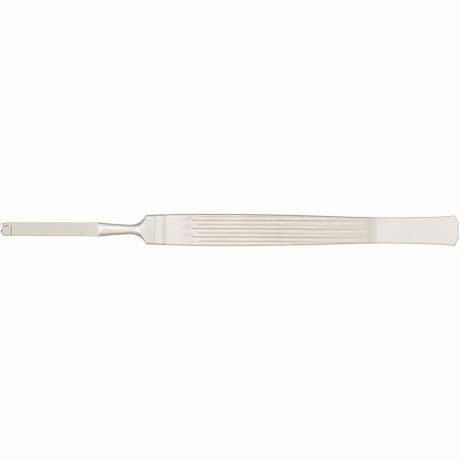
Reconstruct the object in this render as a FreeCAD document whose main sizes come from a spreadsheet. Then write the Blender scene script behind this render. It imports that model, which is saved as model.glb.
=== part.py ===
import FreeCAD, Part
import math
import os

import Sketcher
from FreeCAD import Vector

# A one-piece forged knife of stainless steel, lying flat. X runs from the
# notched button tip to the flared butt, Y across the handle and Z up. The
# features are drawn from the tip and from the knife's middle plane, above and
# below which it is the same. The finished body is then placed with the middle
# of its underside at the origin. All lengths are millimetres.

SIZES = {
    # lengths along the knife, from the tip
    "overall_length": 146.0,
    "tip_length": 3.6,
    "tip_step_length": 0.15,
    "bar_parallel_length": 27.0,
    "bar_length": 31.0,
    "waist_station": 41.4,
    "widest_station": 67.5,
    "taper_station": 110.0,
    "tail_waist_station": 123.0,
    "butt_flare_length": 5.7,
    "butt_corner_length": 1.2,
    # widths across the knife
    "bar_width": 4.25,
    "bar_end_width": 4.6,
    "neck_diameter": 3.0,
    "shoulder_width": 8.75,
    "grip_width": 10.1,
    "taper_width": 8.6,
    "tail_waist_width": 8.2,
    "butt_flare_start_width": 8.85,
    "butt_width": 9.75,
    "butt_flare_radius": 34.0,
    "butt_end_width": 4.8,
    # thicknesses, measured through the knife
    "handle_thickness": 4.5,
    "tail_thickness": 2.0,
    "bar_thickness": 1.6,
    "tip_thickness": 1.0,
    # grip and tail faces
    "grip_flat_end": 88.0,
    "tail_ramp_start": 117.0,
    "tail_ramp_length": 3.0,
    "grip_taper_drop": 0.34,
    # the run-out where the bar's grinding stops against the neck
    "bar_ramp_length": 1.1,
    # waist between neck and shoulder
    "flare_radius": 5.6,
    # two thumb scallops across each face
    "scallop_station": 49.0,
    "scallop_wall_length": 0.5,
    "scallop_depth": 0.25,
    "second_scallop_station": 51.7,
    "second_scallop_wall_length": 0.8,
    "second_scallop_depth": 0.36,
    "scallop_end": 57.2,
    # flutes along each face
    "flute_pitch": 2.64,
    "wide_flute_width": 1.50,
    "wide_flute_depth": 0.38,
    "wide_flute_start": 57.8,
    "narrow_flute_width": 1.04,
    "narrow_flute_depth": 0.22,
    "narrow_flute_start": 60.6,
    "flute_run_in_radius": 20.0,
    # the notched tip
    "tip_round_radius": 1.9,
    "horn_radius": 0.60,
    "horn_root_width": 0.90,
    "notch_length": 2.25,
    "slot_width": 0.13,
    "throat_station": 0.95,
    "throat_height": 0.30,
    "lower_horn_drop": 0.62,
    "lower_horn_tip": 0.25,
    "edge_bevel": 0.22,
    # softened edges
    "handle_edge_bevel": 0.36,
    "tail_edge_radius": 0.4,
    "bar_edge_radius": 0.25,
    "shoulder_corner_radius": 0.8,
    "butt_corner_radius": 0.6,
}

CLEAR = 3.0          # how far cutting shapes reach past the metal
BROAD_LEAN = 0.94    # a broad face's normal is at least this much upright
UPRIGHT = 0.95       # an upright edge climbs at least this share of its length
TAPER_EASE = 4.0     # the grip's taper is this much flatter than an arc that starts level
NECK_HOLLOW = 0.42   # the neck's middle width, as a share of what it still has to lose
FACES = (("upper", 1), ("lower", -1))


def flare_station(radius):
    """Where along the knife the flare has grown to this radius."""
    climb = "({flare_radius} - (%s - {neck_diameter} / 2))" % radius
    return "({waist_station} + sqrt({flare_radius}^2 - %s^2))" % climb


def make_sheet(doc):
    """Keep every driving dimension in one spreadsheet, under its own name."""
    sheet = doc.addObject("Spreadsheet::Sheet", "Sizes")
    for row, (alias, size) in enumerate(SIZES.items(), start=1):
        sheet.set("A%d" % row, alias)
        sheet.set("B%d" % row, str(size))
        sheet.setAlias("B%d" % row, alias)
    doc.recompute()
    return sheet


def plane_of(body, role):
    """The body's own origin plane or axis with this role."""
    return [part for part in body.Origin.OriginFeatures if part.Role == role][0]


def sized(text):
    """Write an expression with plain size names as one the sheet can answer."""
    for alias in sorted(SIZES, key=len, reverse=True):
        text = text.replace("{%s}" % alias, "Sizes.%s" % alias)
    return text


def new_sketch(body, name, role, offset="0"):
    """An empty sketch on an origin plane, moved out along the plane's normal."""
    sketch = body.newObject("Sketcher::SketchObject", name)
    sketch.AttachmentSupport = [(plane_of(body, role), "")]
    sketch.MapMode = "FlatFace"
    if offset != "0":
        sketch.setExpression("AttachmentOffset.Base.z", sized(offset))
    return sketch


def hold(sketch, constraint, name, text):
    """Add a dimension to a sketch and bind it to the sheet."""
    index = sketch.addConstraint(constraint)
    sketch.renameConstraint(index, name)
    sketch.setExpression("Constraints." + name, sized(text))


def outline(sketch, corners, arcs, closed=True):
    """Draw lines and arcs from corner to corner, each corner held in X and Y.

    corners is a list of (x, y) expressions. arcs gives, for the edge that
    leaves a corner, its radius and +1 where it turns left, -1 to the right.
    """
    points = []
    for x_text, y_text in corners:
        x = float(sketch.evalExpression(sized(x_text)))
        y = float(sketch.evalExpression(sized(y_text)))
        points.append(Vector(x, y, 0))
    edge_count = len(points) if closed else len(points) - 1
    ends = []
    for index in range(edge_count):
        start = points[index]
        stop = points[(index + 1) % len(points)]
        if index in arcs:
            radius_text, turn = arcs[index]
            radius = float(sketch.evalExpression(sized(radius_text)))
            edge = arc_between(start, stop, radius, turn)
            ends.append((1, 2) if turn > 0 else (2, 1))
        else:
            edge = Part.LineSegment(start, stop)
            ends.append((1, 2))
        sketch.addGeometry(edge, False)
    for index in range(edge_count):
        if index + 1 < edge_count or closed:
            following = (index + 1) % edge_count
            sketch.addConstraint(Sketcher.Constraint(
                "Coincident", index, ends[index][1], following, ends[following][0]))
    for index, (x_text, y_text) in enumerate(corners):
        geometry, place = (index, ends[index][0]) if index < edge_count else (index - 1, ends[index - 1][1])
        point = points[index]
        hold(sketch, Sketcher.Constraint("DistanceX", -1, 1, geometry, place, point.x),
             "x%d" % index, x_text)
        hold(sketch, Sketcher.Constraint("DistanceY", -1, 1, geometry, place, point.y),
             "y%d" % index, y_text)
    for index, (radius_text, turn) in arcs.items():
        radius = float(sketch.evalExpression(sized(radius_text)))
        hold(sketch, Sketcher.Constraint("Radius", index, radius), "radius%d" % index, radius_text)
    return sketch


def arc_between(start, stop, radius, turn):
    """The short arc from start to stop; turn +1 goes counterclockwise."""
    middle = (start + stop) * 0.5
    chord = stop - start
    rise = math.sqrt(max(radius ** 2 - (chord.Length / 2) ** 2, 0.0))
    side = Vector(-chord.y, chord.x, 0).normalize() * turn
    centre = middle + side * rise
    first, last = (start, stop) if turn > 0 else (stop, start)
    angles = [math.atan2(point.y - centre.y, point.x - centre.x) for point in (first, last)]
    return Part.ArcOfCircle(Part.Circle(centre, Vector(0, 0, 1), radius), angles[0], angles[1])


def crown_radius(run, rise):
    """Radius of the arc that leaves level and gains this rise over this run."""
    return "((%s)^2 + (%s)^2) / (2 * (%s))" % (run, rise, rise)


def feature(body, kind, name):
    """A new feature whose faces stay as they are cut, not merged with neighbours."""
    made = body.newObject("PartDesign::" + kind, name)
    made.Refine = False
    return made


def pad(body, name, sketch, length):
    made = feature(body, "Pad", name)
    made.Profile = sketch
    made.Midplane = True
    made.setExpression("Length", sized(length))
    return made


def pocket(body, name, sketch):
    """Cut a sketch right through, both ways from its plane."""
    made = feature(body, "Pocket", name)
    made.Profile = sketch
    made.Type = "ThroughAll"
    made.Midplane = True
    return made


def half_groove(body, name, sketch, backwards):
    """Turn away what a sketch sweeps in half a turn round the X axis."""
    made = feature(body, "Groove", name)
    made.Profile = sketch
    made.ReferenceAxis = (plane_of(body, "X_Axis"), [""])
    made.Angle = 180
    made.Reversed = backwards
    return made


def dress(body, kind, name, edges, size_property, size):
    """Round (Fillet) or bevel (Chamfer) the named edges of the body so far."""
    base = body.Tip
    made = feature(body, kind, name)
    made.Base = (base, edges)
    made.setExpression(size_property, sized(size))
    return made


def rim_edges(shape, low, high):
    """Edges between a broad face and a side, with X between low and high."""
    names = []
    for number, edge in enumerate(shape.Edges, start=1):
        middle = edge.valueAt((edge.FirstParameter + edge.LastParameter) / 2)
        if not low < middle.x < high:
            continue
        leans = []
        for face in shape.ancestorsOfType(edge, Part.Face):
            u, v = face.Surface.parameter(middle)
            leans.append(abs(face.normalAt(u, v).z))
        if len(leans) == 2 and max(leans) > BROAD_LEAN > min(leans):
            names.append("Edge%d" % number)
    return names


def upright_edges(shape, low, high):
    """Edges that stand up between the two faces, with X between low and high."""
    names = []
    for number, edge in enumerate(shape.Edges, start=1):
        foot, head = edge.valueAt(edge.FirstParameter), edge.valueAt(edge.LastParameter)
        if low < foot.x < high and abs(head.z - foot.z) > UPRIGHT * max((head - foot).Length, 0.001):
            names.append("Edge%d" % number)
    return names


def edges_near(shape, points, reach):
    """Edges whose middle lies within reach of one of the points."""
    names = []
    for number, edge in enumerate(shape.Edges, start=1):
        middle = edge.valueAt((edge.FirstParameter + edge.LastParameter) / 2)
        if min((middle - point).Length for point in points) < reach:
            names.append("Edge%d" % number)
    return names


def bar_blank(doc, body):
    """The ground bar from above, with its rounded end, as a plate with soft edges."""
    half = "{bar_width} / 2"
    end_half = "{bar_end_width} / 2"
    back = "{bar_length} + {bar_ramp_length} / 2"
    corners = [
        ("0", half + " - {horn_radius}"),
        ("{horn_radius}", half),
        ("{bar_parallel_length}", half),
        ("{bar_length}", end_half),
        (back, end_half),
        (back, "-" + end_half),
        ("{bar_length}", "-" + end_half),
        ("{bar_parallel_length}", "-" + half),
        ("{tip_round_radius}", "-" + half),
        ("0", "-" + half + " + {tip_round_radius}"),
    ]
    widening = crown_radius("{bar_length} - {bar_parallel_length}", "({bar_end_width} - {bar_width}) / 2")
    arcs = {0: ("{horn_radius}", -1), 2: (widening, 1), 6: (widening, 1), 8: ("{tip_round_radius}", -1)}
    sketch = outline(new_sketch(body, "bar_outline", "XY_Plane"), corners, arcs)
    pad(body, "bar_blank", sketch, "{bar_thickness}")
    doc.recompute()
    edges = rim_edges(body.Shape, -1, SIZES["bar_length"])
    dress(body, "Fillet", "bar_edges", edges, "Radius", "{bar_edge_radius}")


def handle_blank(body):
    """The handle's outline from above, as one thick plate."""
    front = "{waist_station} - 1"
    flare_start = "{overall_length} - {butt_flare_length}"
    corner = "{overall_length} - {butt_corner_length}"
    upper = [
        (front, "{shoulder_width} / 2"),
        ("{waist_station}", "{shoulder_width} / 2"),
        ("{widest_station}", "{grip_width} / 2"),
        ("{taper_station}", "{taper_width} / 2"),
        ("{tail_waist_station}", "{tail_waist_width} / 2"),
        (flare_start, "{butt_flare_start_width} / 2"),
        (corner, "{butt_width} / 2"),
        ("{overall_length}", "{butt_end_width} / 2"),
    ]
    radii = {
        1: (crown_radius("{widest_station} - {waist_station}",
                         "({grip_width} - {shoulder_width}) / 2"), -1),
        2: (crown_radius("{taper_station} - {widest_station}", "({grip_width} - {taper_width}) / 2"), -1),
        3: (crown_radius("{tail_waist_station} - {taper_station}",
                         "({taper_width} - {tail_waist_width}) / 2"), 1),
        4: (crown_radius(flare_start + " - {tail_waist_station}",
                         "({butt_flare_start_width} - {tail_waist_width}) / 2"), 1),
        5: ("{butt_flare_radius}", 1),
    }
    count = len(upper)
    lower = [(x_text, "-(%s)" % y_text) for x_text, y_text in reversed(upper)]
    arcs = dict(radii)
    for index, (radius_text, turn) in radii.items():
        arcs[2 * count - 2 - index] = (radius_text, turn)
    sketch = outline(new_sketch(body, "handle_outline", "XY_Plane"), upper + lower, arcs)
    return pad(body, "handle_blank", sketch, "{handle_thickness}")


def handle_face(body, name, side):
    """Cut one face of the handle from the grip's flat on: long taper, ramp, tail."""
    high = "%d * ({handle_thickness} / 2)" % side
    reach = "%d * ({handle_thickness} / 2 + %s)" % (side, CLEAR)
    back = "{overall_length} + %s" % CLEAR
    tail = "%d * ({tail_thickness} / 2)" % side
    corners = [
        ("{grip_flat_end}", high),
        ("{tail_ramp_start}", "%d * ({handle_thickness} / 2 - {grip_taper_drop})" % side),
        ("{tail_ramp_start} + {tail_ramp_length}", tail),
        (back, tail),
        (back, reach),
        ("{grip_flat_end}", reach),
    ]
    level_radius = crown_radius("{tail_ramp_start} - {grip_flat_end}", "{grip_taper_drop}")
    arcs = {0: ("%s * %s" % (TAPER_EASE, level_radius), -side)}
    sketch = outline(new_sketch(body, name + "_side_view", "XZ_Plane"), corners, arcs)
    return pocket(body, name, sketch)


def flare(body):
    """Turn the front of the handle down to the neck through a hollow arc."""
    neck = "{neck_diameter} / 2"
    outer = "(sqrt({grip_width}^2 + {handle_thickness}^2) / 2)"
    front = "{waist_station} - %s" % CLEAR
    end = flare_station(outer)
    reach = "%s + %s" % (outer, CLEAR)
    corners = [
        (front, neck),
        ("{waist_station}", neck),
        (end, outer),
        (end, reach),
        (front, reach),
    ]
    sketch = outline(new_sketch(body, "flare_profile", "XZ_Plane"), corners, {1: ("{flare_radius}", 1)})
    for name, backwards in (("flare_left", False), ("flare_right", True)):
        half_groove(body, name, sketch, backwards)


def handle_edges(doc, body):
    """Round the shoulder's and the butt's corners, then bevel the rim of both faces."""
    doc.recompute()
    edges = upright_edges(body.Shape, SIZES["waist_station"], SIZES["scallop_station"])
    dress(body, "Fillet", "shoulder_corners", edges, "Radius", "{shoulder_corner_radius}")
    doc.recompute()
    butt = SIZES["overall_length"] - SIZES["butt_corner_length"]
    edges = upright_edges(body.Shape, butt - CLEAR / 10, SIZES["overall_length"] + CLEAR)
    dress(body, "Fillet", "butt_corners", edges, "Radius", "{butt_corner_radius}")
    doc.recompute()
    edges = rim_edges(body.Shape, SIZES["waist_station"], SIZES["overall_length"] + CLEAR)
    dress(body, "Chamfer", "handle_edges", edges, "Size", "{handle_edge_bevel}")


def tail_edges(doc, body):
    """Soften the rim of the tail plate behind its ramp."""
    doc.recompute()
    front = SIZES["tail_ramp_start"] + SIZES["tail_ramp_length"]
    edges = rim_edges(body.Shape, front, SIZES["overall_length"] + CLEAR)
    dress(body, "Fillet", "tail_edges", edges, "Radius", "{tail_edge_radius}")


def oval(body, name, station, width):
    """An ellipse across the neck, as thick as the neck is at its thinnest."""
    sketch = new_sketch(body, name, "YZ_Plane", station)
    half_width = float(sketch.evalExpression(sized(width))) / 2
    half_height = SIZES["neck_diameter"] / 2
    centre = Vector(0, 0, 0)
    sketch.addGeometry(Part.Ellipse(Vector(half_width, 0, 0), Vector(0, half_height, 0), centre), False)
    sketch.exposeInternalGeometry(0)
    sketch.addConstraint(Sketcher.Constraint("Coincident", 0, 3, -1, 1))
    sketch.addConstraint(Sketcher.Constraint("Horizontal", 1))
    hold(sketch, Sketcher.Constraint("Distance", 1, 2 * half_width), "width", width)
    hold(sketch, Sketcher.Constraint("Distance", 2, 2 * half_height), "height", "{neck_diameter}")
    return sketch


def ring(body, name, station, diameter):
    """A circle across the knife, centred on its axis."""
    sketch = new_sketch(body, name, "YZ_Plane", station)
    radius = float(sketch.evalExpression(sized(diameter))) / 2
    sketch.addGeometry(Part.Circle(Vector(0, 0, 0), Vector(0, 0, 1), radius), False)
    sketch.addConstraint(Sketcher.Constraint("Coincident", 0, 3, -1, 1))
    hold(sketch, Sketcher.Constraint("Radius", 0, radius), "radius", "(%s) / 2" % diameter)
    return sketch


def neck(body):
    """The neck, oval where it meets the bar and round at the waist."""
    wide = "({bar_end_width} - 0.06)"
    middle = "({neck_diameter} + %s * (%s - {neck_diameter}))" % (NECK_HOLLOW, wide)
    start = "({bar_length} - 0.2)"
    loft = feature(body, "AdditiveLoft", "neck")
    sections = [
        oval(body, "neck_front", start, wide),
        oval(body, "neck_middle", "(%s + {waist_station}) / 2" % start, middle),
        ring(body, "neck_back", "{waist_station}", "{neck_diameter}"),
    ]
    loft.Profile = sections[0]
    loft.Sections = sections[1:]
    return loft


def bar_run_out(body, name, side):
    """Where the bar's grinding climbs out of the neck."""
    face = "%d * {bar_thickness} / 2" % side
    high = "%d * ({neck_diameter} / 2 + 0.1)" % side
    reach = "%d * ({neck_diameter} / 2 + %s)" % (side, CLEAR)
    front = "{bar_length} - %s" % CLEAR
    corners = [
        (front, face),
        ("{bar_length}", face),
        ("{bar_length} + {bar_ramp_length}", high),
        ("{bar_length} + {bar_ramp_length}", reach),
        (front, reach),
    ]
    return pocket(body, name, outline(new_sketch(body, name + "_side_view", "XZ_Plane"), corners, {}))


def tip_face(body, name, side):
    """Grind one side of the tip thinner than the bar, up to a low step."""
    face = "%d * {tip_thickness} / 2" % side
    reach = "%d * ({bar_thickness} / 2 + %s)" % (side, CLEAR)
    corners = [
        ("-%s" % CLEAR, face),
        ("{tip_length} - {tip_step_length}", face),
        ("{tip_length}", "%d * ({bar_thickness} / 2)" % side),
        ("{tip_length}", reach),
        ("-%s" % CLEAR, reach),
    ]
    return pocket(body, name, outline(new_sketch(body, name + "_side_view", "XZ_Plane"), corners, {}))


def notch(doc, body):
    """Cut the notch that leaves a button-ended horn above and a short one below."""
    half = "{bar_width} / 2"
    root = half + " - {horn_root_width}"
    corners = [
        ("-%s" % CLEAR, half + " - {horn_radius}"),
        ("0", half + " - {horn_radius}"),
        ("{horn_radius}", half + " - 2 * {horn_radius}"),
        ("{notch_length}", root),
        ("{notch_length}", root + " - {slot_width}"),
        ("{throat_station}", "{throat_height}"),
        ("{lower_horn_tip}", "-{lower_horn_drop}"),
        ("-%s" % CLEAR, "-{lower_horn_drop}"),
    ]
    sketch = outline(new_sketch(body, "notch_outline", "XY_Plane"), corners, {1: ("{horn_radius}", 1)})
    pocket(body, "notch", sketch)
    doc.recompute()
    xs = [float(sketch.evalExpression(sized(x_text))) for x_text, _ in corners]
    ys = [float(sketch.evalExpression(sized(y_text))) for _, y_text in corners]
    middles = []
    for index in (4, 5):
        for side in (1, -1):
            middles.append(Vector((xs[index] + xs[index + 1]) / 2, (ys[index] + ys[index + 1]) / 2,
                                  side * SIZES["tip_thickness"] / 2))
    edges = edges_near(body.Shape, middles, 0.15)
    dress(body, "Chamfer", "notch_bevel", edges, "Size", "{edge_bevel}")


def scallop(body, name, side, start, wall, depth, end):
    """One thumb scallop: a short steep wall, then a long straight rise to the face."""
    high = "%d * ({handle_thickness} / 2)" % side
    floor = "%d * ({handle_thickness} / 2 - %s)" % (side, depth)
    reach = "%d * ({handle_thickness} / 2 + %s)" % (side, CLEAR)
    corners = [
        (start, high),
        (start + " + " + wall, floor),
        (end, high),
        (end, reach),
        (start, reach),
    ]
    return pocket(body, name, outline(new_sketch(body, name + "_side_view", "XZ_Plane"), corners, {}))


def flutes(body, name, count, width, depth, start):
    """A row of round-bottomed flutes, the same on both faces.

    A ball-ended cut plunges along an arc, runs straight at one depth and
    comes out by itself where the face falls away towards the tail.
    """
    radius = "((%s / 2)^2 + %s^2) / (2 * %s)" % (width, depth, depth)
    height = "({handle_thickness} / 2 - %s + %s)" % (depth, radius)
    path_radius = "({flute_run_in_radius} - %s)" % radius
    level_start = "(%s + sqrt(2 * {flute_run_in_radius} * %s - %s^2))" % (start, depth, depth)
    lift = "(%s + 0.4)" % depth
    back = "{tail_ramp_start} + 2"
    path = outline(new_sketch(body, name + "_path", "XZ_Plane"), [
        (back, height),
        (level_start, height),
        ("%s - sqrt(2 * %s * %s - %s^2)" % (level_start, path_radius, lift, lift), height + " + " + lift),
    ], {1: (path_radius, -1)}, closed=False)
    section = new_sketch(body, name + "_section", "YZ_Plane", back)
    across = "-{flute_pitch} * %s" % ((count - 1) / 2)
    centre = Vector(float(section.evalExpression(sized(across))), float(section.evalExpression(sized(height))), 0)
    size = float(section.evalExpression(sized(radius)))
    section.addGeometry(Part.Circle(centre, Vector(0, 0, 1), size), False)
    hold(section, Sketcher.Constraint("DistanceX", -1, 1, 0, 3, centre.x), "across", across)
    hold(section, Sketcher.Constraint("DistanceY", -1, 1, 0, 3, centre.y), "height", height)
    hold(section, Sketcher.Constraint("Radius", 0, size), "radius", radius)
    cut = feature(body, "SubtractivePipe", name + "_first")
    cut.Profile = section
    cut.Spine = (path, [])
    row = feature(body, "MultiTransform", name)
    across_row = body.newObject("PartDesign::LinearPattern", name + "_row")
    across_row.Direction = (plane_of(body, "Y_Axis"), [""])
    across_row.setExpression("Length", sized("{flute_pitch} * %d" % (count - 1)))
    across_row.Occurrences = count
    both_faces = body.newObject("PartDesign::Mirrored", name + "_both_faces")
    both_faces.MirrorPlane = (plane_of(body, "XY_Plane"), [""])
    row.Originals = [cut]
    row.Transformations = [across_row, both_faces]
    body.Tip = row
    return row


def build(doc):
    body = doc.addObject("PartDesign::Body", "button_end_knife")
    body.Label = "button_end_knife"
    body.AllowCompound = True
    bar_blank(doc, body)
    handle_blank(body)
    flare(body)
    handle_edges(doc, body)
    for name, side in FACES:
        handle_face(body, name + "_face", side)
    tail_edges(doc, body)
    neck(body)
    for name, side in FACES:
        bar_run_out(body, name + "_run_out", side)
        tip_face(body, name + "_tip", side)
    notch(doc, body)
    for name, side in FACES:
        scallop(body, name + "_scallop", side, "{scallop_station}",
                "{scallop_wall_length}", "{scallop_depth}", "{second_scallop_station}")
        scallop(body, name + "_second_scallop", side, "{second_scallop_station}",
                "{second_scallop_wall_length}", "{second_scallop_depth}", "{scallop_end}")
    flutes(body, "wide_flutes", 3, "{wide_flute_width}", "{wide_flute_depth}", "{wide_flute_start}")
    flutes(body, "narrow_flutes", 4, "{narrow_flute_width}", "{narrow_flute_depth}",
           "{narrow_flute_start}")
    body.setExpression("Placement.Base.x", sized("-{overall_length} / 2"))
    body.setExpression("Placement.Base.z", sized("{handle_thickness} / 2"))
    doc.recompute()
    return body


def check(doc, body):
    """Stop if any object failed, or the finished shape isn't one good solid."""
    for item in doc.Objects:
        if "Invalid" in item.State or "Error" in item.State:
            raise RuntimeError("%s did not build: %s" % (item.Name, item.State))
    if body.Shape.isNull() or not body.Shape.isValid() or len(body.Shape.Solids) != 1:
        raise RuntimeError("the knife is not one valid solid")


def main():
    doc = FreeCAD.newDocument("button_end_knife")
    make_sheet(doc)
    body = build(doc)
    check(doc, body)
    os.makedirs("parts", exist_ok=True)
    body.Shape.exportStep("parts/%s.step" % body.Label)
    print("volume of", body.Label, round(body.Shape.Volume, 1), "cubic millimetres")


main()
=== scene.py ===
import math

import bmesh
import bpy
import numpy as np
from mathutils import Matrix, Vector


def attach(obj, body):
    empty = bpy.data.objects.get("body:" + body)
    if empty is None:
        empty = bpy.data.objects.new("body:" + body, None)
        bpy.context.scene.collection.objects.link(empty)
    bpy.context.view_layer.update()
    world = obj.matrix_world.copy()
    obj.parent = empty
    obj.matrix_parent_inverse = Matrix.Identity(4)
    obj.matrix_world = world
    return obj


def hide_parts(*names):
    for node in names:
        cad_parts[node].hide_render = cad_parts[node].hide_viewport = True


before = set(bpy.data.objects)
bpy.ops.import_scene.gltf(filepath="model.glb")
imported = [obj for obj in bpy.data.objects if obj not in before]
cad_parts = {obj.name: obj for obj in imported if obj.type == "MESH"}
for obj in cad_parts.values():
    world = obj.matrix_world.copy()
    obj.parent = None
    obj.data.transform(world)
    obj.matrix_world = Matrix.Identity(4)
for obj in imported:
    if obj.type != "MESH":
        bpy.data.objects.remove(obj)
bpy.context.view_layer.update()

# %% [markdown]
# # A button end knife in satin stainless steel
#
# The knife is one forging: a thin ground bar with a notched, button-ended tip,
# a round neck, a flat fluted handle and a plain tail that flares at the butt.
# Nothing is joined on, so one closed skin stands for all of it.
#
# The lesson goes from the outside in. First the outline from above and from
# the side, as two curves along the knife. Then the section that runs along
# them, the flutes and scallops cut into it and the notch in its end. The
# finishes, the light and the camera come last.
#
# Lengths are written in millimetres from the tip, as a drawing would give
# them, and turned to metres once, when the mesh is made.

MM = 0.001
LENGTH = 146.0
MIDDLE_HEIGHT = 2.25

# %% [markdown]
# ## The outline from above
#
# A forged handle has no straight sides. It swells from the shoulder to the
# widest place, a little behind the thumb, narrows for a long way to the tail
# and opens again at the butt. Each of these runs is an arc that leaves level
# at its widest or narrowest place, so the curve has no corner where two meet.

# %% Arcs that leave level
SHOULDER = 46.5
WIDEST = 67.5
TAIL_START = 110.0
WAIST = 123.0
FLARE_START = 140.3
BUTT_CORNER = 144.8
GRIP_HALF = 5.05
WAIST_HALF = 4.1
FLARE_HALF = 4.425
BUTT_HALF = 4.875
END_HALF = 2.4
FLARE_RADIUS = 34.0


def arc_fall(distance, run, fall):
    """How far an arc has dropped at a distance from where it is level.

    The arc's radius is (run squared + fall squared) / (2 fall), so it drops
    by exactly fall over the run.
    """
    radius = (run * run + fall * fall) / (2 * fall)
    reach = np.clip(distance, 0, radius)
    return radius - np.sqrt(radius * radius - reach * reach)


def handle_half_width(x):
    """Half the handle's width at each station, from the shoulder to the butt.

    Arcs fall both ways from the widest place and rise both ways from the
    waist. The flare is a straight line less a product of the distances to its
    two ends, which hollows it, and the butt's corner is a straight line.
    """
    front = GRIP_HALF - arc_fall(WIDEST - x, 26.1, 0.675)
    back = GRIP_HALF - arc_fall(x - WIDEST, TAIL_START - WIDEST, 0.75)
    waist = WAIST_HALF + arc_fall(WAIST - x, WAIST - TAIL_START, 0.2) * (x < WAIST)
    opening = WAIST_HALF + arc_fall(x - WAIST, FLARE_START - WAIST, 0.325)
    share = np.clip((x - FLARE_START) / (BUTT_CORNER - FLARE_START), 0, 1)
    hollow = (x - FLARE_START) * (BUTT_CORNER - x) / (2 * FLARE_RADIUS)
    flare = FLARE_HALF + (BUTT_HALF - FLARE_HALF) * share - hollow
    corner = BUTT_HALF - (BUTT_HALF - END_HALF) * (x - BUTT_CORNER) / (LENGTH - BUTT_CORNER)
    edges = [x < WIDEST, x < TAIL_START, x < WAIST, x < FLARE_START, x < BUTT_CORNER]
    return np.select(edges, [front, back, waist, opening, flare], corner)


stations = np.array([SHOULDER, WIDEST, TAIL_START, WAIST, BUTT_CORNER, LENGTH])
print("handle width", dict(zip(stations, (2 * handle_half_width(stations)).round(2))))

# %% [markdown]
# ## The outline from the side
#
# The grip is the thick part. Two thumb scallops cross its front end, each a
# short steep wall that rises slowly back to the face. Behind the grip the
# face falls away in a long shallow taper, drops over a short ramp and runs
# flat as the thin tail. The flutes come out by themselves on that taper.

# %% Half the thickness along the handle
FACE = 2.25
SCALLOPS = [(48.9, 0.7, 0.25, 51.8), (51.8, 1.1, 0.36, 57.2)]
TAPER_START = 88.0
TAPER_DROP = 0.34
TAPER_RADIUS = 4947.5
RAMP_START = 117.0
RAMP_END = 120.0
RAMP_DROP = 0.91
END_ROUNDING = 0.4


def scallop_depth(x, start, wall, depth, end):
    """Depth of a scallop: a short steep wall, then a long straight rise."""
    down = (x - start) / wall
    up = (end - x) / (end - start - wall)
    return depth * np.clip(np.minimum(down, up), 0, 1)


def handle_half_thickness(x):
    """Height of the handle's broad face over the middle plane.

    The face less the scallops, the taper, the ramp and the rounded butt. The
    taper is a straight line that a very large radius swells a little.
    """
    scallops = sum(scallop_depth(x, *scallop) for scallop in SCALLOPS)
    run = RAMP_START - TAPER_START
    along = np.clip(x - TAPER_START, 0, run)
    taper = TAPER_DROP * along / run - along * (run - along) / (2 * TAPER_RADIUS)
    ramp = RAMP_DROP * np.clip((x - RAMP_START) / (RAMP_END - RAMP_START), 0, 1)
    over = np.clip(x - (LENGTH - END_ROUNDING), 0, END_ROUNDING)
    butt = END_ROUNDING - np.sqrt(np.clip(END_ROUNDING ** 2 - over ** 2, 0, None))
    return FACE - scallops - taper - ramp - butt


print("face heights", handle_half_thickness(np.array([48.0, 49.5, 52.5, 70.0, 117.0, 130.0])).round(3))

# %% [markdown]
# ## Rows and lanes
#
# The skin is one grid. Rows cross the knife, close together where something
# happens, such as a scallop's wall or the start of a flute, and far apart on
# the plain runs. Lanes run along it. On the grip they keep their place, so
# that the crests between two flutes follow the lanes and stay crisp.

# %% The stations of the rows
def spaced(stops):
    """Stations from a list of (end, number of steps), each run evenly divided."""
    found = [0.0]
    at = 0.0
    for end, steps in stops:
        found.extend(np.linspace(at, end, steps + 1)[1:])
        at = end
    return np.array(found)


NOSE_LENGTH = 0.6
LOWER_START = 0.0415
ROOT_STATION = 2.25
NECK_WAIST = 41.4
FLARE_END = 47.5
TIP_STOPS = [(NOSE_LENGTH, 8), (ROOT_STATION, 22), (3.25, 8), (4.05, 26)]
NECK_STOPS = [(27.0, 26), (30.9, 10), (32.3, 20), (NECK_WAIST, 26), (FLARE_END, 56)]
SCALLOP_STOPS = [(48.9, 5), (49.6, 8), (51.8, 14), (52.9, 10), (57.2, 20)]
GRIP_STOPS = [(66.0, 60), (TAPER_START, 18), (104.0, 16), (RAMP_START, 40)]
TAIL_STOPS = [(RAMP_END, 14), (FLARE_START, 20), (BUTT_CORNER, 14), (LENGTH - END_ROUNDING, 8)]

nose_turn = NOSE_LENGTH * (1 - np.cos(np.linspace(0, math.pi / 2, 14)))
end_turn = LENGTH - END_ROUNDING + END_ROUNDING * np.sin(np.linspace(0, math.pi / 2, 8))
even = spaced(TIP_STOPS + NECK_STOPS + SCALLOP_STOPS + GRIP_STOPS + TAIL_STOPS)[1:]
rows = np.unique(np.concatenate([nose_turn, [LOWER_START, 0.16, 0.5, 0.76], even, end_turn]).round(5))
rows = rows[np.concatenate([[True], np.diff(rows) > 0.004])]
print("rows", len(rows))

# %% The places of the lanes and one section
LANE_STOPS = [(0.75, 6), (0.80, 1), (1.84, 9), (1.89, 1), (3.39, 12), (3.44, 1), (3.7, 2)]
half_lanes = spaced(LANE_STOPS)
inner_lanes = np.concatenate([-half_lanes[:0:-1], half_lanes])
OUTER_CELLS = 8
CORNER_CELLS = 7
SIDE_CELLS = 2


def lanes_across(flat_low, flat_high):
    """Y of each lane for every row, between the two ends of the flat.

    The inner lanes keep their place while the flat is wide enough and
    shrink with it where it is not; the outer ones share what is left.
    """
    width = (flat_high - flat_low)[:, None] / 2
    middle = (flat_high + flat_low)[:, None] / 2
    inner_edge = np.minimum(half_lanes[-1], 0.96 * width)
    inner = inner_lanes[None, :] * inner_edge / half_lanes[-1]
    share = np.linspace(0, 1, OUTER_CELLS + 1)[None, 1:]
    right = inner_edge + (width - inner_edge) * share
    return middle + np.concatenate([-right[:, ::-1], inner, right], axis=1)


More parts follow.
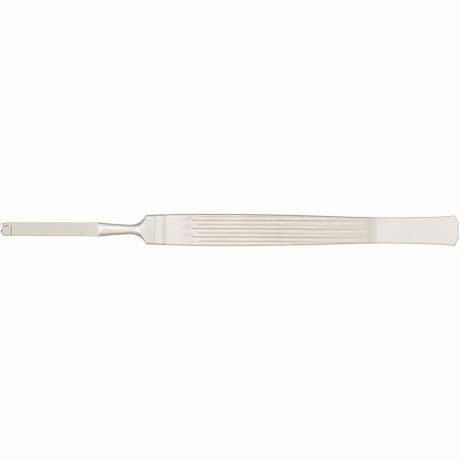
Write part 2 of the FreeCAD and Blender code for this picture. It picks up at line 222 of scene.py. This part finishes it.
def half_section(low, high, top, turn_across, turn_up, lanes):
    """Points from one side's middle over the top to the other side's middle.

    Each side climbs upright, then turns into the face on a quarter ellipse
    that is turn_across wide and turn_up high. Returns Y and Z, one row each.
    """
    climb = np.linspace(0, 1, SIDE_CELLS + 1)[None, :-1]
    angle = np.linspace(0, math.pi / 2, CORNER_CELLS + 1)[None, :-1]
    low, high, top = low[:, None], high[:, None], top[:, None]
    turn_across, turn_up = turn_across[:, None], turn_up[:, None]
    side_z = (top - turn_up) * climb
    corner_z = top - turn_up + turn_up * np.sin(angle)
    inset = turn_across * (1 - np.cos(angle))
    left_y = np.concatenate([low + 0 * side_z, low + inset], axis=1)
    right_y = np.concatenate([high + 0 * side_z, high - inset], axis=1)
    edge_z = np.concatenate([side_z, corner_z], axis=1)
    y = np.concatenate([left_y, lanes, right_y[:, ::-1]], axis=1)
    z = np.concatenate([edge_z, top + 0 * lanes, edge_z[:, ::-1]], axis=1)
    return y, z


print("lanes over one face", 2 * (len(half_lanes) - 1 + OUTER_CELLS))

# %% [markdown]
# ## Handle and flare
#
# The handle's section is a flat plate with softly turned edges. Towards the
# neck a hollow arc was turned round the knife's axis and cut the plate down,
# so each point lies either on the plate or on the turned arc, whichever is
# nearer the axis. That gives the bowed front edge of the shoulder's flat.

# %% The handle's section cut by the flare
NECK_RADIUS = 1.5
HOLLOW_RADIUS = 5.6
SOFT_TURN = 0.10
FAR = 50.0


def flare_radius(x):
    """Radius of the turned hollow: level at the waist, then ever steeper.

    The neck's radius and the hollow's, less the root of the hollow's radius
    squared less the distance from the waist squared.
    """
    ahead = np.clip(x - NECK_WAIST, 0, HOLLOW_RADIUS - 0.01)
    return NECK_RADIUS + HOLLOW_RADIUS - np.sqrt(HOLLOW_RADIUS ** 2 - ahead * ahead)


def soft_min(one, other, soft):
    """The lower of two surfaces, with their crease rounded over a small step.

    Where they lie closer than the step, the share of it that is left is
    squared, and a quarter of the step times that square is taken off.
    """
    near = np.clip(soft - np.abs(one - other), 0, None) / soft
    return np.minimum(one, other) - near * near * soft / 4


HANDLE_FROM = 46.0
RIM_ROUNDING = ([48.0, 54.0, TAIL_START, RAMP_END], [0.95, 0.60, 0.60, 0.42])

half_width = handle_half_width(np.maximum(rows, HANDLE_FROM))
half_thickness = handle_half_thickness(rows)
slope = np.gradient(half_width, rows)
edge = np.interp(rows, *RIM_ROUNDING)
edge_across = np.minimum(edge * np.sqrt(1 + slope ** 2), 1.0)
lanes = lanes_across(-half_width + edge_across, half_width - edge_across)
handle_y, handle_z = half_section(-half_width, half_width, half_thickness, edge_across,
                                  np.minimum(edge, half_thickness), lanes)
distance = np.hypot(handle_y, handle_z)
turned = np.where(rows < FLARE_END, flare_radius(rows), FAR)[:, None]
keep = soft_min(turned, distance, SOFT_TURN) / distance
handle_y, handle_z = handle_y * keep, handle_z * keep
print("section points", handle_y.shape)

# %% [markdown]
# ## Neck and bar
#
# The neck is round at the waist and turns oval as it widens towards the bar.
# The bar is ground flat on both faces afterwards, and the grinding stops
# against the neck in a short ramp: where that ramp meets the round neck, the
# bright bowed line appears that closes the bar. Near the tip the bar steps
# down to the tip's thinner plate, with a small groove in front of the step.

# %% Neck, bar and the ramp between them
BAR_HALF = 2.125
BAR_WIDENS = 27.0
BAR_END = 31.0
STEP_STATIONS = [3.38, 3.50, 3.56, 3.64, 3.72, 3.84, 4.04]
STEP_HEIGHTS = [0.5, 0.37, 0.37, 0.64, 0.71, 0.77, 0.8]
BAR_ROUNDING = 0.25
NECK_FROM = 30.8
NECK_FROM_HALF = 2.27
NECK_HOLLOW = 0.248
GRIND_RAMP = ([BAR_END, 32.1], [0.8, 1.6])
GRIND_CREASE = 0.06


def smooth_share(share):
    """Three share squared less two share cubed: level at both 0 and 1."""
    return share * share * (3 - 2 * share)


along_neck = np.clip((rows - NECK_FROM) / (NECK_WAIST - NECK_FROM), 0, 1)
neck_hollow = NECK_HOLLOW * along_neck * (1 - along_neck)
neck_half_width = NECK_FROM_HALF + (NECK_RADIUS - NECK_FROM_HALF) * along_neck - neck_hollow
in_front = (rows < NECK_WAIST)[:, None]
base_y, base_z = half_section(-half_width, half_width, np.full(len(rows), FACE), edge_across,
                              np.minimum(edge, FACE), lanes)
base_distance = np.hypot(base_y, base_z)
neck_y = base_y * (neck_half_width[:, None] / base_distance)
neck_z = base_z * (NECK_RADIUS / base_distance)

bar_half_width = BAR_HALF + arc_fall(np.clip(rows, BAR_WIDENS, BAR_END) - BAR_WIDENS, 4.0, 0.175)
bar_top = np.interp(rows, STEP_STATIONS, STEP_HEIGHTS)
bar_edge = np.full(len(rows), BAR_ROUNDING)
bar_lanes = lanes_across(-bar_half_width + bar_edge, bar_half_width - bar_edge)
bar_y, bar_z = half_section(-bar_half_width, bar_half_width, bar_top, bar_edge, bar_edge, bar_lanes)

ramp = np.interp(rows, *GRIND_RAMP)[:, None]
neck_z = np.where(rows[:, None] < BAR_END + 2, soft_min(neck_z, ramp, GRIND_CREASE), neck_z)
to_neck = smooth_share(np.clip((rows - BAR_END) / 0.7, 0, 1)[:, None])
front_y = bar_y + (neck_y - bar_y) * to_neck
front_z = bar_z + (neck_z - bar_z) * to_neck
section_y = np.where(in_front, front_y, handle_y)
section_z = np.where(in_front, front_z, handle_z)
print("bar is", round(2 * bar_half_width[0], 2), "wide and", round(2 * bar_top[-1], 2), "thick")

# %% [markdown]
# ## Flutes
#
# Seven flutes run along each face, three wide ones and four narrow ones in
# turn. Each is the path of a ball-ended cutter: a round bottom, a slow plunge
# at the front and one level all along, so the ribs between them fade where
# the face tapers down to the cutter's level. The side towards the horn starts
# as a wider, gentler hollow, and turns crisp where the cutter is level.

# %% Cut the flutes
FLUTES = [(-2.64, 1.50, 0.38, 57.8), (0.0, 1.50, 0.38, 57.8), (2.64, 1.50, 0.38, 57.8),
          (-3.96, 1.04, 0.22, 60.6), (-1.32, 1.04, 0.22, 60.6), (1.32, 1.04, 0.22, 60.6),
          (3.96, 1.04, 0.22, 60.6)]
FLUTES_FROM = 57.0
PLUNGE = 20.0
PLUNGE_REACH = 12.0
GENTLER = 5.0
GENTLE_UNTIL = 0.3
GENTLE_FROM = 1.1
FLUTE_CREASE = 0.05


def flute_surface(x, y, centre, width, depth, start):
    """Height of one flute's round bottom; far above the face beside it.

    The cutter's radius is (width squared / 4 + depth squared) / (2 depth).
    Its floor is level behind the plunge and climbs an arc of the plunge's
    radius in front of it. There the radius on the horn's side grows to
    GENTLER times as much.
    """
    radius = (width * width / 4 + depth * depth) / (2 * depth)
    level_from = start + math.sqrt(2 * PLUNGE * depth - depth * depth)
    before = np.clip(level_from - x, 0, PLUNGE_REACH)
    floor = FACE - depth + PLUNGE - np.sqrt(PLUNGE * PLUNGE - before * before)
    front = np.clip((level_from - GENTLE_UNTIL - x) / (GENTLE_FROM - GENTLE_UNTIL), 0, 1)
    gentle = 1 + (GENTLER - 1) * smooth_share(front)[:, None]
    round_to = radius * np.where(y > centre, gentle, 1.0)
    aside = np.abs(y - centre)
    inside = np.sqrt(np.clip(round_to * round_to - aside * aside, 0, None))
    return np.where(aside < round_to, floor[:, None] + round_to - inside, FAR)


for centre, width, depth, start in FLUTES:
    cut = flute_surface(rows, section_y, centre, width, depth, start)
    section_z = np.where(rows[:, None] > FLUTES_FROM, soft_min(section_z, cut, FLUTE_CREASE), section_z)
section_z[:, 0] = 0
section_z[:, -1] = 0
print("lowest flute floor", round(float(section_z[(rows > 66) & (rows < 80)][:, 20:-20].min()), 3))

# %% [markdown]
# ## The notched tip
#
# The tip is thinner than the bar behind a low step. A slanting notch parts it
# into a round-nosed horn, which is the button that keeps the end from
# catching, and a shorter rounded one with a small bevel at its inner edge,
# where the knife cuts. In the grid, one column of cells opens into the notch.

# %% Outlines of the two horns
HORN_MIDDLE = 1.50
NOSE_ROUNDNESS = 0.64
HORN_TOP = ([NOSE_LENGTH, 1.2, 2.0], [1.884, 2.06, BAR_HALF])
HORN_UNDER = ([NOSE_LENGTH, 1.2, ROOT_STATION], [1.116, 1.20, 1.42])
LOWER_IN = ([0.16, 0.50, 0.76, 1.50, ROOT_STATION], [-0.50, 0.22, 0.94, 1.12, 1.30])
LOWER_RADIUS = 1.9
NOSE_FLAT = 0.08
UPPER_ROUNDING = 0.25
LOWER_ROUNDING = 0.36
ROUNDING_SHARE = 0.4

to_nose = NOSE_LENGTH - np.minimum(rows, NOSE_LENGTH)
nose_half = NOSE_ROUNDNESS * np.sqrt(np.clip(NOSE_LENGTH ** 2 - to_nose ** 2, NOSE_FLAT ** 2, None))
in_nose = rows < NOSE_LENGTH
horn_top = np.where(in_nose, HORN_MIDDLE + nose_half, np.interp(rows, *HORN_TOP))
horn_under = np.where(in_nose, HORN_MIDDLE - nose_half, np.interp(rows, *HORN_UNDER))
rounded = LOWER_RADIUS - np.clip(rows, LOWER_START, LOWER_RADIUS)
lower_out = LOWER_RADIUS - BAR_HALF - np.sqrt(np.clip(LOWER_RADIUS ** 2 - rounded ** 2, 0, None))
lower_in = np.interp(rows, *LOWER_IN)
at_half = int(np.searchsorted(rows, 0.5))
print("horn is", round(horn_top[at_half] - horn_under[at_half], 2), "wide half a millimetre from its end")

# %% Lanes and sections of the horns
FACE_CELLS = 2 * (len(half_lanes) - 1 + OUTER_CELLS)
LOWER_CELLS = FACE_CELLS * 6 // 10
UPPER_CELLS = FACE_CELLS - LOWER_CELLS - 1


def horn_lanes(flat_low, flat_high, cells):
    """Evenly spaced lanes between the two edges of a horn."""
    return flat_low[:, None] + (flat_high - flat_low)[:, None] * np.linspace(0, 1, cells + 1)[None, :]


upper_edge = np.minimum(UPPER_ROUNDING, (horn_top - horn_under) * ROUNDING_SHARE)
lower_edge = np.minimum(LOWER_ROUNDING, (lower_in - lower_out) * ROUNDING_SHARE)
tip_lanes = np.concatenate([horn_lanes(lower_out + lower_edge, lower_in, LOWER_CELLS),
                            horn_lanes(horn_under, horn_top - upper_edge, UPPER_CELLS)], axis=1)
to_bar = smooth_share(np.clip(rows - ROOT_STATION, 0, 1)[:, None])
tip_lanes = tip_lanes + (bar_lanes - tip_lanes) * to_bar
tip_up = np.minimum(0.46, np.minimum(upper_edge, lower_edge) + 0.12)
tip_y, tip_z = half_section(lower_out, horn_top, bar_top, bar_edge, tip_up, tip_lanes)
low_turn = lower_edge[:, None] / BAR_ROUNDING
high_turn = upper_edge[:, None] / BAR_ROUNDING
side_count = SIDE_CELLS + CORNER_CELLS
tip_y[:, :side_count] = lower_out[:, None] + (tip_y[:, :side_count] - lower_out[:, None]) * low_turn
tip_y[:, -side_count:] = horn_top[:, None] + (tip_y[:, -side_count:] - horn_top[:, None]) * high_turn
print("lower horn has", LOWER_CELLS, "cells, upper horn", UPPER_CELLS)

# %% Bevel inside the notch
BEVEL_WIDTH = 0.22
BEVEL_SLOPE = 2.0
BEVEL_FADE = 0.25
RIM_LEFT = 0.08


def line_distance(x, y, start, end):
    """How far each point lies to the right of a line from start to end.

    The way from start to the point, crossed with the line's unit direction.
    """
    along = np.subtract(end, start)
    along = along / np.hypot(*along)
    return (x - start[0]) * along[1] - (y - start[1]) * along[0]


last_lower = side_count + LOWER_CELLS
x_grid = np.repeat(rows[:, None], tip_y.shape[1], axis=1)
corners = list(zip(*LOWER_IN))
inside = np.min([line_distance(x_grid, tip_y, *ends) for ends in zip(corners[1:], corners[2:])], axis=0)
bevel = np.clip(BEVEL_WIDTH - np.clip(inside, 0, None), 0, None)
is_lower = np.arange(tip_y.shape[1])[None, :] <= last_lower
fade = np.clip((ROOT_STATION + BEVEL_FADE - x_grid) / BEVEL_FADE, 0, 1)
near_notch = is_lower & (x_grid > 0.2)
bevelled = np.maximum(bar_top[:, None] - BEVEL_SLOPE * bevel * fade, RIM_LEFT)
tip_z = np.where(near_notch, np.minimum(tip_z, bevelled), tip_z)
in_tip = (rows < STEP_STATIONS[1])[:, None]
section_y = np.where(in_tip, tip_y, section_y)
section_z = np.where(in_tip, tip_z, section_z)
section_z[:, 0] = 0
section_z[:, -1] = 0
section_x = x_grid.copy()
section_x[:, :last_lower + 1] = np.maximum(section_x[:, :last_lower + 1], LOWER_START)
print("points in the bevel", int((near_notch & (bevel * fade > 0)).sum()))

# %% [markdown]
# ## One closed skin
#
# The lower face mirrors the upper one, because the knife was worked alike
# from both sides. The two share the points on the middle plane. In front of
# the notch's root the open column has no faces; walls close both horns there
# and a narrow one closes the root. Flat caps close the butt and both noses.

# %% Make the mesh
POINTS = section_y.shape[1]
AROUND = 2 * POINTS - 2


def ring_index(row, point, under=False):
    """Number of a vertex by its row, its point over the section and its face."""
    around = np.where(under, (AROUND - point) % AROUND, point)
    return row * AROUND + around


def skin_vertices():
    """All vertices, row by row, once round each section, in metres in the frame."""
    under_x, under_y, under_z = section_x[:, -2:0:-1], section_y[:, -2:0:-1], -section_z[:, -2:0:-1]
    x = np.concatenate([section_x, under_x], axis=1) - LENGTH / 2
    y = np.concatenate([section_y, under_y], axis=1)
    z = np.concatenate([section_z, under_z], axis=1) + MIDDLE_HEIGHT
    return np.stack([x, y, z], axis=2).reshape(-1, 3) * MM


def wall_quads(row, point):
    """Quads that join the two faces along one lane, from each row to the next."""
    return np.stack([ring_index(row, point), ring_index(row + 1, point),
                     ring_index(row + 1, point, True), ring_index(row, point, True)], axis=1)


def skin_faces():
    """Quads between neighbouring rows and the walls inside the notch."""
    row, point = np.meshgrid(np.arange(len(rows) - 1), np.arange(AROUND), indexing="ij")
    following = (point + 1) % AROUND
    sides = np.stack([ring_index(row, point), ring_index(row, following),
                      ring_index(row + 1, following), ring_index(row + 1, point)], axis=2)
    gap = (point == last_lower) | (point == AROUND - last_lower - 1)
    open_row = rows[row + 1] <= ROOT_STATION + 1e-6
    sides = sides[~(gap & open_row)]
    front = np.arange(int((rows <= ROOT_STATION + 1e-6).sum()) - 1)
    left = last_lower
    right = last_lower + 1
    lower_wall = wall_quads(front, left)[:, ::-1]
    upper_wall = wall_quads(front, right)
    root = front[-1] + 1
    root_wall = np.array([[ring_index(root, left), ring_index(root, right),
                           ring_index(root, right, True), ring_index(root, left, True)]])[:, ::-1]
    return np.concatenate([sides, lower_wall, upper_wall, root_wall])


def mesh_object(name, vertices, faces, weld):
    """An object from arrays of vertices and quads, welded and with its ends capped."""
    mesh = bpy.data.meshes.new(name)
    mesh.from_pydata(vertices.tolist(), [], faces.tolist())
    piece = bpy.data.objects.new(name, mesh)
    bpy.context.scene.collection.objects.link(piece)
    work = bmesh.new()
    work.from_mesh(mesh)
    bmesh.ops.remove_doubles(work, verts=work.verts, dist=weld)
    bmesh.ops.dissolve_degenerate(work, edges=work.edges, dist=weld / 2)
    bmesh.ops.holes_fill(work, edges=[edge for edge in work.edges if edge.is_boundary], sides=0)
    bmesh.ops.recalc_face_normals(work, faces=work.faces)
    open_edges = sum(not edge.is_manifold for edge in work.edges)
    work.to_mesh(mesh)
    work.free()
    print(name, len(mesh.polygons), "faces,", open_edges, "open edges")
    return piece


WELD = 2e-7
SHARP_FROM = math.radians(42)
knife = mesh_object("knife", skin_vertices(), skin_faces(), WELD)
knife.data.shade_smooth()
knife.data.set_sharp_from_angle(angle=SHARP_FROM)
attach(knife, "root")
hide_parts("button_end_knife")

# %% [markdown]
# ## Two finishes of one steel, with painted light and shade
#
# The whole knife is one stainless steel. The handle and neck are satin: small
# abrasive has broken up the mirror, so reflections are wide and pale. The bar
# and tip were ground afterwards across their length, which leaves fine lines
# from edge to edge and a slightly darker, warmer tone. A third, dark steel is
# painted shade in the notch, the step's groove and the tip's rim.
# Real grinding lines lie some hundredths of a millimetre apart and would not
# show here, so they are drawn 0.22 mm apart, and the satin grain 0.12 to
# 0.5 mm long.

# %% Colours and nodes
def linear(hex_colour):
    """An sRGB hex colour as the linear RGBA that shaders take."""
    channels = [int(hex_colour[i:i + 2], 16) / 255 for i in (0, 2, 4)]
    return [c / 12.92 if c <= 0.04045 else ((c + 0.055) / 1.055) ** 2.4 for c in channels] + [1.0]


def add_node(tree, kind, settings=None, inputs=None):
    """Add a node, set its properties and its inputs; an input may be a socket."""
    node = tree.nodes.new(kind)
    for name, value in (settings or {}).items():
        setattr(node, name, value)
    for name, value in (inputs or {}).items():
        if isinstance(value, bpy.types.NodeSocket):
            tree.links.new(value, node.inputs[name])
        else:
            node.inputs[name].default_value = value
    return node


def steel(name, tones, roughness, rough_spread, lines):
    """Stainless steel with a tone along the knife, faint clouds and a fine relief.

    tones is a list of (millimetres from the tip, colour). lines gives the
    size in millimetres of one mark along, across and up, so long thin marks
    are lines and even ones are a blasted grain.
    """
    material = bpy.data.materials.new(name)
    material.use_nodes = True
    tree = material.node_tree
    shader = tree.nodes["Principled BSDF"]
    place = add_node(tree, "ShaderNodeTexCoord").outputs["Object"]
    marks = add_node(tree, "ShaderNodeMapping", inputs={
        "Vector": place, "Scale": [1 / (size * MM) for size in lines]}).outputs["Vector"]
    grain = add_node(tree, "ShaderNodeTexNoise", inputs={
        "Vector": marks, "Scale": 1.0, "Detail": 3.0, "Roughness": 0.6}).outputs["Fac"]
    clouds = add_node(tree, "ShaderNodeTexNoise", inputs={
        "Vector": place, "Scale": 1 / (6 * MM), "Detail": 4.0, "Roughness": 0.55}).outputs["Fac"]
    both = add_node(tree, "ShaderNodeMath", {"operation": "MULTIPLY_ADD"}, {
        0: grain, 1: 0.6, 2: clouds}).outputs[0]
    along = add_node(tree, "ShaderNodeMapRange", inputs={
        "Value": add_node(tree, "ShaderNodeSeparateXYZ", inputs={"Vector": place}).outputs["X"],
        "From Min": -LENGTH / 2 * MM, "From Max": LENGTH / 2 * MM}).outputs["Result"]
    ramp = add_node(tree, "ShaderNodeValToRGB", inputs={"Fac": along})
    stops = ramp.color_ramp.elements
    stops.remove(stops[1])
    for number, (station, colour) in enumerate(tones):
        stop = stops[0] if number == 0 else stops.new(station / LENGTH)
        stop.position = station / LENGTH
        stop.color = linear(colour)
    shade = add_node(tree, "ShaderNodeMapRange", inputs={
        "Value": both, "From Min": 0.55, "From Max": 1.05, "To Min": 0.94, "To Max": 1.0}).outputs["Result"]
    tinted = add_node(tree, "ShaderNodeVectorMath", {"operation": "SCALE"}, {
        0: ramp.outputs["Color"], "Scale": shade}).outputs["Vector"]
    tree.links.new(tinted, shader.inputs["Base Color"])
    gloss = add_node(tree, "ShaderNodeMapRange", inputs={
        "Value": both, "From Min": 0.55, "From Max": 1.05,
        "To Min": roughness + rough_spread, "To Max": roughness - rough_spread}).outputs["Result"]
    tree.links.new(gloss, shader.inputs["Roughness"])
    relief = add_node(tree, "ShaderNodeBump", inputs={
        "Strength": 0.25, "Distance": 0.004 * MM, "Height": grain}).outputs["Normal"]
    tree.links.new(relief, shader.inputs["Normal"])
    shader.inputs["Metallic"].default_value = 1.0
    return material


# Satin tone along the knife. A painted highlight makes it brighter on the flare near 44.5 mm. Painted shade
# makes it darker on the second scallop's wall (52.0 to 52.8 mm) and along the taper to the ramp (90 to 117
# mm).
SATIN_TONES_AND_PAINTED_LIGHT = [
    (30.0, "EAE7E2"), (42.0, "EAE7E2"), (44.5, "EFEEED"), (46.6, "E8E3DA"), (48.9, "E8E2D9"),
    (50.0, "E9E5DF"), (51.7, "E9E5DF"), (52.0, "E7DFD3"), (52.8, "E7DFD3"), (53.3, "EDEBE8"),
    (57.0, "EBE7E1"), (60.0, "E8E3DC"), (76.0, "E8E3DB"), (90.0, "E1DBD2"), (117.0, "E0D9CF"),
    (120.5, "EAE6E2"), (146.0, "EBE7E2")]
GROUND_TONES = [(0.0, "DAD3C9"), (20.0, "DAD3C9"), (31.0, "E0DBD2")]
# Dark painted shade for the notch's walls, the step's groove and the tip's rim.
PAINTED_SHADE_TONES = [(0.0, "7A7068"), (1.6, "7A7068"), (2.6, "B3AAA3"), (4.0, "B3AAA3")]

satin = steel("satin_stainless_steel", SATIN_TONES_AND_PAINTED_LIGHT, 0.34, 0.04, (0.5, 0.12, 0.12))
ground = steel("ground_stainless_steel", GROUND_TONES, 0.32, 0.05, (0.22, 15.0, 15.0))
# A third steel material that only carries that painted shade.
painted_shade_material = steel("painted_shade_steel", PAINTED_SHADE_TONES, 0.50, 0.05, (0.3, 0.3, 0.3))
for finish in (satin, ground, painted_shade_material):
    knife.data.materials.append(finish)
print("finishes", [finish.name for finish in knife.data.materials])

# %% Which face has which finish, and where shade is painted
GRINDING_END = 31.9
# Areas of painted shade: the notch, the step's groove and the tip's lower rim.
NOTCH_AREA = (0.5, 2.3, 0.5, 1.5)
STEP_AREA = (3.40, 3.68, -1.9, 1.1)
RIM_AREA = (-1.0, 2.6, -3.0, -0.1)
SATIN_SLOT, GROUND_SLOT, PAINTED_SHADE_SLOT = range(3)

face_count = len(knife.data.polygons)
centres = np.zeros(face_count * 3)
knife.data.polygons.foreach_get("center", centres)
normals = np.zeros(face_count * 3)
knife.data.polygons.foreach_get("normal", normals)
station = centres.reshape(-1, 3)[:, 0] / MM + LENGTH / 2
across = centres.reshape(-1, 3)[:, 1] / MM
level = np.abs(normals.reshape(-1, 3)[:, 2])


def within(area):
    """Faces with their centre in an area: its two ends along, then its two sides."""
    start, end, low, high = area
    return (station > start) & (station < end) & (across > low) & (across < high)


on_bar = station < GRINDING_END
in_notch = within(NOTCH_AREA) & (level < 0.6)
on_rim = within(RIM_AREA) & (level < 0.94)
# Faces in these areas, the steep ones in the notch and on the rim, get the painted shade instead of a
# finish.
painted_shade = in_notch | within(STEP_AREA) | on_rim
slots = np.select([painted_shade, on_bar], [PAINTED_SHADE_SLOT, GROUND_SLOT], SATIN_SLOT)
knife.data.polygons.foreach_set("material_index", slots.astype(np.int32))
print("ground faces", int(on_bar.sum()), "and dull faces", int(painted_shade.sum()), "of", face_count)

# %% [markdown]
# ## Floor and light
#
# The knife lies on a white sheet under a wide soft light, as such tools are
# photographed. Metal shows what is around it, so the surroundings matter as
# much as the lamps: pale above, brighter towards the tip, and a darker, warm
# band low down that draws the thin dark lines along the rims. Three weak soft
# lamps brighten the neck's flare, the sides of the flutes and the butt.

# %% White floor that keeps a shadow
def seen_directly(tree):
    """Share of even white in the sheet, for rays that look at it.

    The rest is lit paper with the knife's shadow on it. Reflections take
    less of the even white, so the rims show the shade right beside them.
    """
    path = add_node(tree, "ShaderNodeLightPath")
    clear = add_node(tree, "ShaderNodeMath", {"operation": "MAXIMUM"}, {
        0: path.outputs["Is Camera Ray"], 1: path.outputs["Is Transmission Ray"]})
    share = add_node(tree, "ShaderNodeMath", {"operation": "MULTIPLY"}, {0: clear.outputs[0], 1: 0.98})
    glossy = add_node(tree, "ShaderNodeMath", {"operation": "MULTIPLY"}, {
        0: path.outputs["Is Glossy Ray"], 1: 0.10})
    return add_node(tree, "ShaderNodeMath", {"operation": "MAXIMUM"}, {
        0: share.outputs[0], 1: glossy.outputs[0]}).outputs[0]


def white_sheet():
    """Paper that looks white where it is seen and still takes a faint shadow."""
    material = bpy.data.materials.new("white_sheet")
    material.use_nodes = True
    tree = material.node_tree
    tree.nodes.clear()
    paper = add_node(tree, "ShaderNodeBsdfDiffuse", inputs={"Color": linear("9C958D")})
    glow = add_node(tree, "ShaderNodeEmission", inputs={"Color": (1, 1, 1, 1), "Strength": 1.0})
    shown = add_node(tree, "ShaderNodeMixShader", inputs={0: seen_directly(tree)})
    tree.links.new(paper.outputs[0], shown.inputs[1])
    tree.links.new(glow.outputs[0], shown.inputs[2])
    output = add_node(tree, "ShaderNodeOutputMaterial")
    tree.links.new(shown.outputs[0], output.inputs["Surface"])
    return material


def flat_floor(half):
    """A square floor just under the knife."""
    corners = np.array([[-half, -half, 0], [half, -half, 0], [half, half, 0], [-half, half, 0]], float)
    mesh = bpy.data.meshes.new("floor")
    mesh.from_pydata(corners.tolist(), [], [[0, 1, 2, 3]])
    mesh.materials.append(white_sheet())
    piece = bpy.data.objects.new("floor", mesh)
    bpy.context.scene.collection.objects.link(piece)
    return piece


floor = flat_floor(3.0)
print("floor is", round(floor.dimensions.x, 2), "m wide")

# %% Surroundings
def soft_room():
    """A pale room: white overhead and towards the tip, warmer and duller low down.

    The tone follows 0.75 z - 0.20 x + 0.28 y of the unit direction, so it is
    dullest low down on the knife's near side and behind the butt.
    """
    world = bpy.data.worlds.new("soft_room")
    bpy.context.scene.world = world
    world.use_nodes = True
    tree = world.node_tree
    tree.nodes.clear()
    direction = add_node(tree, "ShaderNodeTexCoord").outputs["Generated"]
    lift = add_node(tree, "ShaderNodeVectorMath", {"operation": "DOT_PRODUCT"}, {
        0: direction, 1: (-0.20, 0.28, 0.75)}).outputs["Value"]
    share = add_node(tree, "ShaderNodeMapRange", {"interpolation_type": "SMOOTHSTEP"}, {
        "Value": lift, "From Min": -0.25, "From Max": 0.60}).outputs["Result"]
    mixed = add_node(tree, "ShaderNodeMix", {"data_type": "RGBA"}, {
        "Factor": share, "A": linear("C8B6A6"), "B": linear("FFFFFF")})
    light = add_node(tree, "ShaderNodeBackground", inputs={"Color": mixed.outputs[2], "Strength": 1.0})
    output = add_node(tree, "ShaderNodeOutputWorld")
    tree.links.new(light.outputs[0], output.inputs["Surface"])


soft_room()


def soft_lamp(name, place, size, brightness, colour):
    """A square area lamp that faces the knife; a brightness of 1 shows as white."""
    lamp = bpy.data.lights.new(name, "AREA")
    lamp.shape = "SQUARE"
    lamp.size = size
    lamp.energy = brightness * math.pi * size * size
    lamp.color = linear(colour)[:3]
    holder = bpy.data.objects.new(name, lamp)
    holder.location = place
    holder.rotation_euler = (-Vector(place)).to_track_quat("-Z", "Y").to_euler()
    bpy.context.scene.collection.objects.link(holder)
    return holder


soft_lamp("tip_side", (-0.95, 0.05, 0.50), 0.65, 0.92, "FFFFFF")
soft_lamp("far_side", (-0.10, 0.50, 0.95), 0.30, 1.0, "FFFFFF")
soft_lamp("butt_side", (1.10, 0.05, 0.25), 0.45, 0.60, "FFFFFF")
print("lamps", [lamp.name for lamp in bpy.data.lights])

# %% [markdown]
# ## Camera and view
#
# The photograph looks almost straight down on the knife, which lies turned a
# few degrees about its length, so the camera leans towards the horn's side.
# A long lens far away keeps the outline free of perspective. The knife fills
# 458 of the picture's 460 pixels.

# %% Camera
LEAN = math.radians(3.0)
ROLL = math.radians(0.2)
REACH = 1.2
IMAGE_PIXELS = 460
KNIFE_PIXELS = 458.0
FRAME_WIDTH = IMAGE_PIXELS / KNIFE_PIXELS * LENGTH * MM
SENSOR = 36.0
SHIFT_ALONG = 0.0002
SHIFT_ACROSS = -0.00003

camera_data = bpy.data.cameras.new("camera")
camera = bpy.data.objects.new("camera", camera_data)
bpy.context.scene.collection.objects.link(camera)
bpy.context.scene.camera = camera
camera_data.sensor_width = SENSOR
camera_data.lens = SENSOR * REACH / FRAME_WIDTH
camera_data.clip_start = 0.01
camera_data.clip_end = 20.0
target = Vector((SHIFT_ALONG, SHIFT_ACROSS, MIDDLE_HEIGHT * MM))
back = Vector((0, math.sin(LEAN), math.cos(LEAN)))
camera.location = target + back * REACH
right = Vector((1, 0, 0))
up = back.cross(right)
turn = Matrix((right, up, back)).transposed().to_4x4()
camera.rotation_euler = (turn @ Matrix.Rotation(ROLL, 4, "Z")).to_euler()
bpy.context.scene.view_settings.view_transform = "Standard"
print("one pixel is", round(FRAME_WIDTH / MM / IMAGE_PIXELS, 3), "mm")
